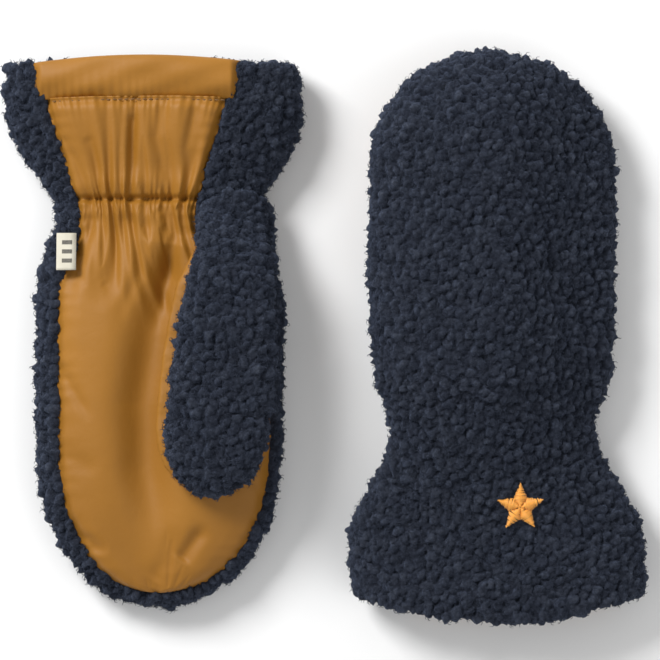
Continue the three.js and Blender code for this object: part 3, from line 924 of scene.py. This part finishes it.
# Soft hollows and creases of the palm: their path in plan, their depth and half of their width.
CREASES = (
    (((-4.5, 12.0), (-2.3, 26.0), (1.0, 42.0), (5.0, 68.0), (4.5, 90.0), (-1.0, 128.0)), 8.0, 8.5),
    (((-3.2, -2.0), (-5.7, 9.0), (-2.3, 26.0), (-0.5, 44.0)), 2.4, 2.6),
    (((11.0, 0.0), (16.8, 23.5), (20.0, 36.0)), 2.2, 4.0),
    (((21.0, 0.0), (29.0, 20.0), (32.5, 36.0)), 1.8, 3.0),
    (((3.5, 2.0), (7.0, 22.0), (14.0, 40.0)), 1.0, 2.4),
    (((35.0, 54.0), (26.0, 69.0), (23.0, 74.0)), 0.9, 2.0),
    (((32.5, 110.0), (22.0, 118.0), (17.0, 119.5)), 1.8, 2.4),
    (((-8.0, 123.0), (-12.0, 117.0), (-17.0, 110.0)), 2.0, 2.8),
    (((2.0, 130.0), (-2.0, 124.0), (-6.0, 110.0)), 0.9, 3.0),
    (((36.0, 84.0), (20.0, 92.0)), 0.7, 3.2),
    (((-1.7, -39.0), (0.0, -26.0), (-3.7, -6.0)), 1.6, 2.1),
    (((-13.8, -38.0), (-10.2, -22.0), (-9.8, -7.0)), 1.3, 2.0),
    (((9.1, -34.0), (8.7, -22.0), (6.7, -8.0)), 1.1, 1.9),
    (((25.0, -26.0), (20.0, -14.0), (16.0, -6.0)), 0.8, 2.0),
)


def creases(x, y):
    """How far the padding is pulled in by its soft hollows and creases."""
    total = np.zeros_like(x)
    for path, depth, half_width in CREASES:
        nearest = np.full_like(x, 1.0e9)
        along = np.zeros_like(x)
        lengths = [math.dist(a, b) for a, b in zip(path, path[1:])]
        walked = 0.0
        for (ax, ay), (bx, by), length in zip(path, path[1:], lengths):
            share = np.clip(((x - ax) * (bx - ax) + (y - ay) * (by - ay)) / length**2, 0.0, 1.0)
            gap = np.hypot(x - mix(ax, bx, share), y - mix(ay, by, share))
            along = np.where(gap < nearest, (walked + share * length) / sum(lengths), along)
            nearest = np.minimum(nearest, gap)
            walked += length
        fade = smooth(along / 0.15 + 0.25) * smooth((1.0 - along) / 0.4 + 0.1)
        total += depth * fade * bell(nearest, half_width)
    return total


def gathers(y, share):
    """The tight gathers at the wrist elastic, which die out within a few millimetres of it."""
    from_wrist = y - WRIST_LINE
    phase = 2.0 * np.pi * (GATHERS * share + 0.35 * np.sin(17.0 * share) + 0.2 * np.sin(31.0 * share))
    uneven = 0.75 + 0.35 * np.sin(23.0 * share + 1.1)
    fine = np.sin(phase) * uneven * 0.6 * fading(from_wrist, 3.2)
    groove = ELASTIC_GROOVE * bell(from_wrist, 1.05)
    shoulder = 0.9 * bell(np.abs(from_wrist) - 5.5, 3.8)
    return fine + shoulder - groove


def hem_puckers(rows, hem, share):
    """Small puckers where the cuff's nylon meets the stitching of its hem."""
    from_stitching = rows - (hem + STITCH_LINE)
    phase = 2.0 * np.pi * (PUCKERS * share + 0.5 * np.sin(13.0 * share))
    pucker = 0.28 * np.sin(phase) * fading(from_stitching, 3.6)
    return pucker - 1.7 * bell(from_stitching, 1.7)


def palm_surface(mitten, x, y, rise):
    """The palm face at a plan position, with an outward rise."""
    if mitten.palm_up:
        return mitten.top(x, y) + rise
    return np.maximum(mitten.bottom(x, y) - 0.4 * rise + 0.8, 0.35)


def pad_rise(mitten, x, y, share, folds):
    """How far the nylon stands off the palm's plain face."""
    from_seam = from_seams(mitten, x, y)
    tuck = 2.2 * bell(from_seam, 1.9)
    seam_pucker = 0.35 * np.sin(1.15 * y + 2.0 * np.sin(0.21 * y)) * np.exp(-from_seam / 3.2)
    rise = FOLD_DEPTH * np.clip(folds, -2.0, 3.0) + PADDING_RISE * smooth(from_seam / 9.0)
    rise += seam_pucker - tuck + gathers(y, share)
    return rise + hem_puckers(y, -mitten.cuff_length, share) - creases(x, y)


def slab_faces(height, width, flip):
    """The faces of a closed slab: an outer grid, an inner one after it, and the rim between them."""
    count = height * width
    faces = grid_faces(height, width, flip=flip) + grid_faces(height, width, count, not flip)
    rim = list(range(width))
    rim += [r * width + width - 1 for r in range(1, height)]
    rim += [(height - 1) * width + c for c in range(width - 2, -1, -1)]
    rim += [r * width for r in range(height - 2, 0, -1)]
    for a, b in zip(rim, rim[1:] + rim[:1]):
        quad = (a, a + count, b + count, b)
        faces.append(quad[::-1] if flip else quad)
    return faces


def padded_nylon(mitten, rows, shift):
    """The nylon of palm and cuff, with its padding, as one closed pad."""
    grid = refined(np.dstack([*palm_plan(mitten, rows), shift]))
    x, y, share, shift_x, shift_y, folds = np.moveaxis(grid, 2, 0)
    rise = pad_rise(mitten, x, y, share, folds)
    sway = smooth(from_seams(mitten, x, y) / 3.0)
    row = y + mitten.sag(x, y)
    outer = np.stack([x + shift_x * sway, row + shift_y * sway, palm_surface(mitten, x, y, rise)], axis=-1)
    under = np.minimum(rise - PAD_THICKNESS["least"], PAD_THICKNESS["floor"])
    inner = np.stack([x, row, palm_surface(mitten, x, y, under)], axis=-1)
    if not mitten.palm_up:
        inner[:, :, 2] = outer[:, :, 2] + 2.5
    points = np.concatenate([outer.reshape(-1, 3), inner.reshape(-1, 3)])
    side = mitten.side
    faces = slab_faces(*x.shape, flip=not mitten.palm_up)
    pad = make_object(f"{side}_padded_palm", mitten.place(points), faces, NYLON)
    blend_at_wrist(pad, mitten)
    nodes = ("palm_panel", "palm_wadding", "wrist_gather", "wrist_elastic", "cuff_palm_panel")
    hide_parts(*(f"{side}_{node}" for node in nodes))


# ---- The rolled hem and its stitching --------------------------------------------------------

ROLL_OVERHANG = 2.4
ROLL_DEPTH = 4.6
ROLL_BOW = {"left": 0.9, "right": -1.4}  # the left roll bows past the pile, the right stays under it
STITCH_PITCH = 2.1
STITCH_REACH = 0.72
STITCH_LEVEL = -0.45


def hem_loop(mitten, low, high, station):
    """One section of the rolled hem, at a share of the way along it."""
    hem = -mitten.cuff_length
    angle = np.linspace(0.0, 2.0 * np.pi, 40, endpoint=False)
    x = np.full_like(angle, mix(low - ROLL_OVERHANG, high + ROLL_OVERHANG, station))
    end = smooth(min(station, 1.0 - station) / 0.05)
    across = np.sign(np.cos(angle)) * np.abs(np.cos(angle)) ** 0.75
    middle_row = hem + 0.5 * HEM_ROLL + 0.5
    y = middle_row + 0.5 * HEM_ROLL * across
    from_stitching = np.clip(middle_row + 0.5 * HEM_ROLL - y, 0.0, HEM_ROLL)
    plump = 1.0 - 0.55 * fading(from_stitching, 2.4)
    pinch = 0.75 * np.sin(2.0 * np.pi * 24.0 * station + 2.0 * np.sin(14.0 * station))
    pinch = pinch * fading(from_stitching, 3.0) * (0.25 + 0.75 * smooth((station - 0.35) / 0.3))
    sway = 0.35 * np.sin(9.0 * station + 0.4 * y) + 0.25 * np.sin(21.0 * station - 0.7 * y)
    level = (np.sin(angle) * plump + 1.0) / 2.0
    outer_rise = mix(-2.4, ROLL_HEIGHT, end) + 0.5 * pinch + sway
    if mitten.palm_up:
        z = palm_surface(mitten, x, y, mix(-ROLL_DEPTH, outer_rise, level))
    else:
        z = np.maximum(mitten.bottom(x, y) + 1.0 + 3.4 * (1.0 - level), 0.35)
    bow_out = ROLL_BOW[mitten.side] * np.sin(np.pi * station) * smooth((hem + 6.0 - y) / 6.0)
    return np.stack([x, y - bow_out + mitten.sag(x, y), z], axis=1)


def hem_roll(mitten):
    """The folded nylon hem: a soft roll that wraps over the cuff's edge and into its mouth."""
    low, high = palm_edges(mitten, 0.5 * HEM_ROLL - mitten.cuff_length)
    loops = [hem_loop(mitten, low, high, station) for station in np.linspace(0.0, 1.0, 150)]
    roll = loft(f"{mitten.side}_hem_roll", [mitten.place(loop) for loop in loops])
    finish_loft(roll, NYLON)
    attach(roll, f"{mitten.side}_cuff")
    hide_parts(f"{mitten.side}_hem_fold")


def finish_loft(obj, material):
    """Turns a closed object's faces outward and gives it its material."""
    mesh = bmesh.new()
    mesh.from_mesh(obj.data)
    bmesh.ops.recalc_face_normals(mesh, faces=mesh.faces)
    mesh.to_mesh(obj.data)
    mesh.free()
    obj.data.materials.append(material)
    obj.data.update()


def tube(path, radii, sides=6):
    """Rings round a path, as (points, faces) of one closed tube."""
    ahead = unit(np.gradient(path, axis=0))
    across = unit(np.cross(ahead, (0.0, 0.0, 1.0)))
    lifted = np.cross(across, ahead)
    angle = 2.0 * np.pi * np.arange(sides) / sides
    radii = np.asarray(radii, float)[:, None, None]
    swing = np.cos(angle)[None, :, None] * across[:, None, :]
    swing = swing + np.sin(angle)[None, :, None] * lifted[:, None, :]
    return (path[:, None, :] + radii * swing).reshape(-1, 3), closed_faces(len(path), sides)


def sewn_threads(mitten, name, threads, material):
    """Separate threads as one object; each is a path in the mitten's own frame, and its radii."""
    points = []
    faces = []
    first = 0
    for path, radii in threads:
        tube_points, tube_faces = tube(path, radii)
        points.append(mitten.place(tube_points))
        faces += [tuple(first + k for k in face) for face in tube_faces]
        first += len(tube_points)
    return make_object(f"{mitten.side}_{name}", np.concatenate(points), faces, material)


def hem_stitches(mitten):
    """A row of short stitches in the groove between the rolled hem and the cuff's nylon."""
    row = HEM_ROLL + 1.2 - mitten.cuff_length
    low, high = palm_edges(mitten, row)
    threads = []
    for k in range(int((high - low - 2.0) / STITCH_PITCH)):
        x = low + 1.5 + STITCH_PITCH * k + np.linspace(-STITCH_REACH, STITCH_REACH, 5)
        y = np.full_like(x, row)
        dip = np.array([-0.35, 0.05, 0.2, 0.05, -0.35])
        z = palm_surface(mitten, x, y, STITCH_LEVEL + dip)
        path = np.stack([x, y + mitten.sag(x, y), z], axis=1)
        threads.append((path, (0.12, 0.19, 0.21, 0.19, 0.12)))
    stitches = sewn_threads(mitten, "hem_stitches", threads, THREAD)
    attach(stitches, f"{mitten.side}_cuff")
    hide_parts(f"{mitten.side}_hem_stitching")


# ---- Thumbs ----------------------------------------------------------------------------------

THUMB_TIP_START = THUMB_TIP_Y - THUMB_ROUND
THUMB_SUNK = 4.5  # the thumb's base sinks this far into the hand that it is sewn to
THUMB_TUCK = 4.0  # under the back-up mitten the thumb's base lies further in
THUMB_PUCKER = 0.35


def thumb_middle(y):
    return mix(THUMB_BASE_X, THUMB_TIP_X, y / THUMB_TIP_Y)


def thumb_ring(mitten, y, low, high, inset, inner_extra, count=56):
    """A cross-section of the thumb between two levels, widened towards the palm's middle."""
    base_round = np.sqrt(1.0 - np.clip((THUMB_BASE_Y + 9.0 - y) / 9.5, 0.0, 1.0) ** 2)
    grown = mix(THUMB_BASE_HALF, THUMB_HALF, smooth(y / 60.0)) * base_round - inset
    share = tip_share((y - THUMB_TIP_START) / (THUMB_ROUND - inset))
    across, rise = section(count)
    widened = inner_extra * share * smooth((y - 8.0) / 20.0) * (across > 0.0)
    x = thumb_middle(y) + grown * share * across + widened
    slim = tip_share((y - THUMB_TIP_START) / THUMB_ROUND) ** 0.5 * mix(0.55, 1.0, smooth((y + 4.0) / 30.0))
    z = mix(low, low + (high - low) * slim, (rise + 1.0) / 2.0)
    if mitten.palm_up:
        z -= (HAND_THICK - mitten.top(x, np.full(count, y))) * smooth((48.0 - y) / 40.0)
        z -= THUMB_SUNK * smooth((20.0 - y) / 24.0)
    else:
        x += THUMB_TUCK * smooth((40.0 - y) / 40.0)
    return np.stack([x, np.full(count, y), z], axis=1)


def thumb_body(name, levels, inset, inner_extra, voxel, mitten):
    """A closed lobe in the shape of the thumb, evenly meshed, in the mitten's own frame."""
    tip = THUMB_TIP_START + (THUMB_ROUND - inset) * np.sin(np.linspace(0.15, 1.5, 8))
    base = THUMB_BASE_Y + np.array([0.3, 1.2, 3.0, 5.5, 9.0])
    rows = np.concatenate([base, np.linspace(base[-1] + 6.0, THUMB_TIP_START, 9), tip])
    rings = [thumb_ring(mitten, y, *levels, inset, inner_extra) * MM for y in rows]
    return remesh(loft(name, rings), voxel * MM)


def thumb_levels(mitten):
    """Heights of the thumb's pile and nylon: the nylon faces the palm, the pile away from it."""
    if mitten.palm_up:
        floor = HAND_THICK + 0.6
        return (floor + 2.4, floor + THUMB_THICK - 1.6), (floor, floor + 5.4)
    return (1.4, 8.6), (6.0, THUMB_THICK)


def blend_at_thumb(obj, mitten):
    """The thumb's base is sewn to the hand; bakes the thumb piece's placement into its mesh, and the
    points along the thumb are worked out but not used.
    """
    mitten.at(-27.0, 8.0, 20.0)
    mitten.at(-24.5, 38.0, 20.0)
    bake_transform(obj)


def thumb_pieces(mitten, rng):
    """The thumb's pile with its fibres, and its padded nylon, which faces the palm."""
    side = mitten.side
    pile_levels, nylon_levels = thumb_levels(mitten)
    body = thumb_body(f"{side}_thumb_pile", pile_levels, 1.4, 0.0, VOXEL, mitten)
    points = positions(body) / MM
    direction = normals(body)
    if mitten.palm_up:
        hidden = smooth((-direction[:, 2] - 0.35) / 0.3)
    else:
        pressed = smooth((1.9 - points[:, 2]) / 0.8)
        hidden = np.maximum(pressed, smooth((points[:, 2] - pile_levels[1] + 1.5) / 1.5))
    weight = 1.0 - hidden * np.where(np.abs(direction[:, 2]) > 0.5, 1.0, 0.3)
    add_pile(body, weight, THUMB_CURL_SPACING, rng)
    fuzz = add_fuzz(body, f"{side}_thumb_fuzz", weight, FUZZ_PER_THUMB, rng)
    for piece in (body, fuzz):
        put_in_place(piece, mitten)
        keep_above_floor(piece)
        blend_at_thumb(piece, mitten)
    body.data.materials.append(PILE)
    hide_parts(f"{side}_thumb_back_pile", f"{side}_thumb_lining")
    nylon = thumb_body(f"{side}_thumb_nylon", nylon_levels, 1.6, THUMB_NYLON_SHOWING, 0.9, mitten)
    crumple(nylon, THUMB_PUCKER)
    put_in_place(nylon, mitten)
    nylon.data.materials.append(NYLON)
    blend_at_thumb(nylon, mitten)
    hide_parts(f"{side}_thumb_palm_panel")


def crumple(obj, height):
    """Small uneven puckers over a piece, in millimetres."""
    points = positions(obj) / MM
    rise = wobble(points * np.array([1.0, 0.55, 1.0]), 3.0, 4.4) + 0.6 * wobble(points, 1.6, 9.1)
    set_positions(obj, (points + height * rise[:, None] * normals(obj)) * MM)


# ---- Lining, label and star ------------------------------------------------------------------

LINING_SIDES = 120
LINING_PUCKER = 0.3
LABEL_RISE = 2.0
LABEL_LOOP = 0.9  # gap between the folded label's two halves
BAR_ROWS = (-3.2, 0.0, 3.2)
BAR_INSET = 1.4


def lining_bag(mitten):
    """The fleece lining that shows in the cuff's mouth, closed off further in."""
    hem = -mitten.cuff_length
    rows = np.linspace(hem + 2.2, hem + MOUTH_DEPTH - 1.0, 26)
    insets = (PILE_BASE + WALL - 0.6, PILE_BASE + WALL + 1.0)
    walls = [mitten.ring(y, inset, LINING_SIDES) for inset in insets for y in rows]
    first = len(rows) * LINING_SIDES
    faces = loft_faces(len(rows), LINING_SIDES) + loft_faces(len(rows), LINING_SIDES, first, flip=True)
    end = first - LINING_SIDES
    faces.append(tuple(range(end, first)))
    faces.append(tuple(range(end + first, 2 * first))[::-1])
    for k in range(LINING_SIDES):
        other = (k + 1) % LINING_SIDES
        faces.append((k, k + first, other + first, other))
    lining = make_object(f"{mitten.side}_lining", np.concatenate(walls) * MM, faces)
    finish_loft(lining, FLEECE)
    crumple(lining, LINING_PUCKER)
    put_in_place(lining, mitten)
    blend_at_wrist(lining, mitten)
    nodes = ("hand_lining", "cuff_lining", "wrist_lining")
    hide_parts(*(f"{mitten.side}_{node}" for node in nodes))


def label_level(mitten, along, y):
    """Height of the label's fold line: it droops away from the seam and ripples a little."""
    droop = 0.05 * np.maximum(along, 0.0) ** 1.5
    ripple = 0.25 * np.sin(3.0 * ((y - LABEL_Y) / LABEL_LENGTH + 0.5) + 0.3 * along)
    return mitten.top(LABEL_START, y) + LABEL_RISE - droop + ripple


def side_label(mitten):
    """A woven tape folded in half, with its ends caught in the seam beside the palm."""
    reach, gap = LABEL_REACH, LABEL_LOOP
    path = [(0.0, 0.0), (reach * 0.35, 0.25), (reach * 0.7, 0.4)]
    for turn in np.linspace(0.2, math.pi - 0.2, 7):
        path.append((reach + 0.5 * gap * math.sin(turn), 0.35 + 0.5 * gap * (1.0 - math.cos(turn))))
    path += [(reach * 0.7, 0.5 + gap), (reach * 0.35, 0.45 + gap), (0.0, 0.15 + gap)]
    path = np.array(path)
    ahead = unit(np.gradient(path, axis=0))
    out = 0.5 * LABEL_GAUGE * np.stack([ahead[:, 1], -ahead[:, 0]], axis=1)
    along, height = np.concatenate([path + out, (path - out)[::-1]]).T
    rings = []
    for y in LABEL_Y + LABEL_LENGTH * (np.linspace(0.0, 1.0, 15) - 0.5):
        z = label_level(mitten, along, y) + height
        rings.append(np.stack([LABEL_START + along, np.full_like(along, y), z], axis=1))
    label = loft(f"{mitten.side}_label", [mitten.place(ring) for ring in rings])
    finish_loft(label, TAPE)
    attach(label, f"{mitten.side}_hand")
    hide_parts(f"{mitten.side}_side_label")


def label_marks(mitten):
    """Three plain woven bars on the label, with no lettering."""
    threads = []
    for offset in BAR_ROWS:
        for lane in np.linspace(-0.55, 0.55, 4):
            along = np.linspace(BAR_INSET, LABEL_REACH - BAR_INSET, 9)
            y = np.full_like(along, LABEL_Y + offset + lane)
            face = np.interp(along, (0.0, 0.35 * LABEL_REACH, 0.7 * LABEL_REACH), (1.05, 1.35, 1.4))
            z = label_level(mitten, along, y) + face + 0.17
            threads.append((np.stack([LABEL_START + along, y, z], axis=1), [0.16] * len(along)))
    marks = sewn_threads(mitten, "label_bars", threads, DARK_THREAD)
    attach(marks, f"{mitten.side}_hand")


def star_outline():
    corners = []
    for k in range(10):
        reach = STAR_RADIUS if k % 2 == 0 else STAR_INNER
        angle = math.pi / 2.0 + k * math.pi / 5.0
        corners.append((reach * math.cos(angle), reach * math.sin(angle)))
    return np.array(corners)


def cuff_star(mitten, rng):
    """A five-pointed star of satin stitches; each arm's threads run across it."""
    outline = star_outline()
    threads = []
    for arm in range(5):
        tip = outline[2 * arm]
        left = outline[(2 * arm + 1) % 10]
        right = outline[(2 * arm - 1) % 10]
        shoulder = float(left @ (tip / np.linalg.norm(tip)))
        for reach in np.arange(0.4, STAR_RADIUS - 0.25, STAR_PITCH):
            if reach > shoulder:
                share = (reach - shoulder) / (STAR_RADIUS - shoulder)
                ends = mix(left, tip, share), mix(right, tip, share)
            else:
                share = reach / shoulder
                ends = left * share, right * share
            first, last = (end + rng.normal(0.0, 0.09, 2) for end in ends)
            over = np.linspace(-0.04, 1.04, 7)
            hump = np.sin(np.pi * np.clip(over, 0.0, 1.0))
            x, y = (mix(first, last, over[:, None]) + (STAR_X, STAR_Y)).T
            wide = np.linalg.norm(last - first)
            lift = STAR_LEVEL + 0.13 * wide * hump + rng.normal(0.0, 0.03)
            z = mitten.top(x, y) + lift - 0.5 * (1.0 - hump)
            path = np.stack([x, y + mitten.sag(x, y), z], axis=1)
            threads.append((path, 0.155 + 0.08 * hump))
    star = sewn_threads(mitten, "star", threads, STAR_THREAD)
    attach(star, f"{mitten.side}_cuff")
    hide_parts(f"{mitten.side}_cuff_motif")


def folds_for(mitten, rows, settled_rows, shift):
    """The settled folds, carried over to a mitten whose hand and cuff have other lengths."""
    hand = LEFT.hand_length / mitten.hand_length
    cuff = LEFT.cuff_length / mitten.cuff_length
    same_place = np.where(rows > 0.0, rows * hand, rows * cuff)
    nearest = np.interp(same_place, settled_rows, range(len(settled_rows)))
    return shift[np.round(nearest).astype(int)]


# ---- The pair --------------------------------------------------------------------------------

palm_lines = palm_rows(LEFT)
palm_shift = settled_folds(LEFT, palm_lines)

for mitten in MITTENS:
    pile_rng = np.random.default_rng(SEED + (0 if mitten.palm_up else 1))
    back_pile(mitten, pile_rng)
    rows = palm_rows(mitten)
    padded_nylon(mitten, rows, folds_for(mitten, rows, palm_lines, palm_shift))
    hem_roll(mitten)
    hem_stitches(mitten)
    thumb_pieces(mitten, pile_rng)
    lining_bag(mitten)
side_label(LEFT)
label_marks(LEFT)
cuff_star(RIGHT, np.random.default_rng(SEED + 5))

# ---- Camera, light and floor, in metres ------------------------------------------------------

CAMERA_PLACE = (0.0014, 0.0028, 1.6)
VIEW_WIDTH = 0.231
VIEW_HEIGHT = 0.02  # height above the floor at which the view is that wide
SENSOR_MM = 36.0
FLOOR_REACH = 3.0
FLOOR_GAP = 0.0004
DAYLIGHT = 0.56


def add_camera():
    camera = bpy.data.objects.new("camera", bpy.data.cameras.new("camera"))
    camera.data.sensor_width = SENSOR_MM
    camera.data.lens = SENSOR_MM * (CAMERA_PLACE[2] - VIEW_HEIGHT) / VIEW_WIDTH
    camera.location = CAMERA_PLACE
    bpy.context.scene.collection.objects.link(camera)
    bpy.context.scene.camera = camera


def add_floor():
    shader = Shader("floor", 0.9)
    soft = shader.noise(40.0, 2.0)
    colour = shader.ramp(soft, (0.0, (0.86, 0.86, 0.86)), (1.0, (0.88, 0.88, 0.88)))
    pale = shader.finish(colour, shader.bump(soft, 0.01 * MM, 0.1))
    corners = [(FLOOR_REACH * i, FLOOR_REACH * j, 0.0) for i, j in ((-1, -1), (1, -1), (1, 1), (-1, 1))]
    floor = make_object("floor", corners, [(0, 1, 2, 3)], pale, smooth_faces=False)
    floor.location.z = -FLOOR_GAP


def add_daylight():
    world = bpy.data.worlds.new("studio")
    world.use_nodes = True
    background = world.node_tree.nodes["Background"]
    background.inputs["Color"].default_value = (1.0, 1.0, 1.0, 1.0)
    background.inputs["Strength"].default_value = DAYLIGHT
    bpy.context.scene.world = world


def add_light(name, place, size, power):
    light = bpy.data.lights.new(name, "AREA")
    light.size = size
    light.energy = power
    obj = bpy.data.objects.new(name, light)
    obj.location = place
    obj.rotation_euler = (-Vector(place)).to_track_quat("-Z", "Y").to_euler()
    bpy.context.scene.collection.objects.link(obj)


bpy.context.scene.view_settings.view_transform = "Standard"
add_camera()
add_floor()
add_daylight()
add_light("key", (-0.8, 0.8, 0.95), 0.55, 22.0)
add_light("fill", (0.8, -0.5, 1.1), 1.0, 2.8)
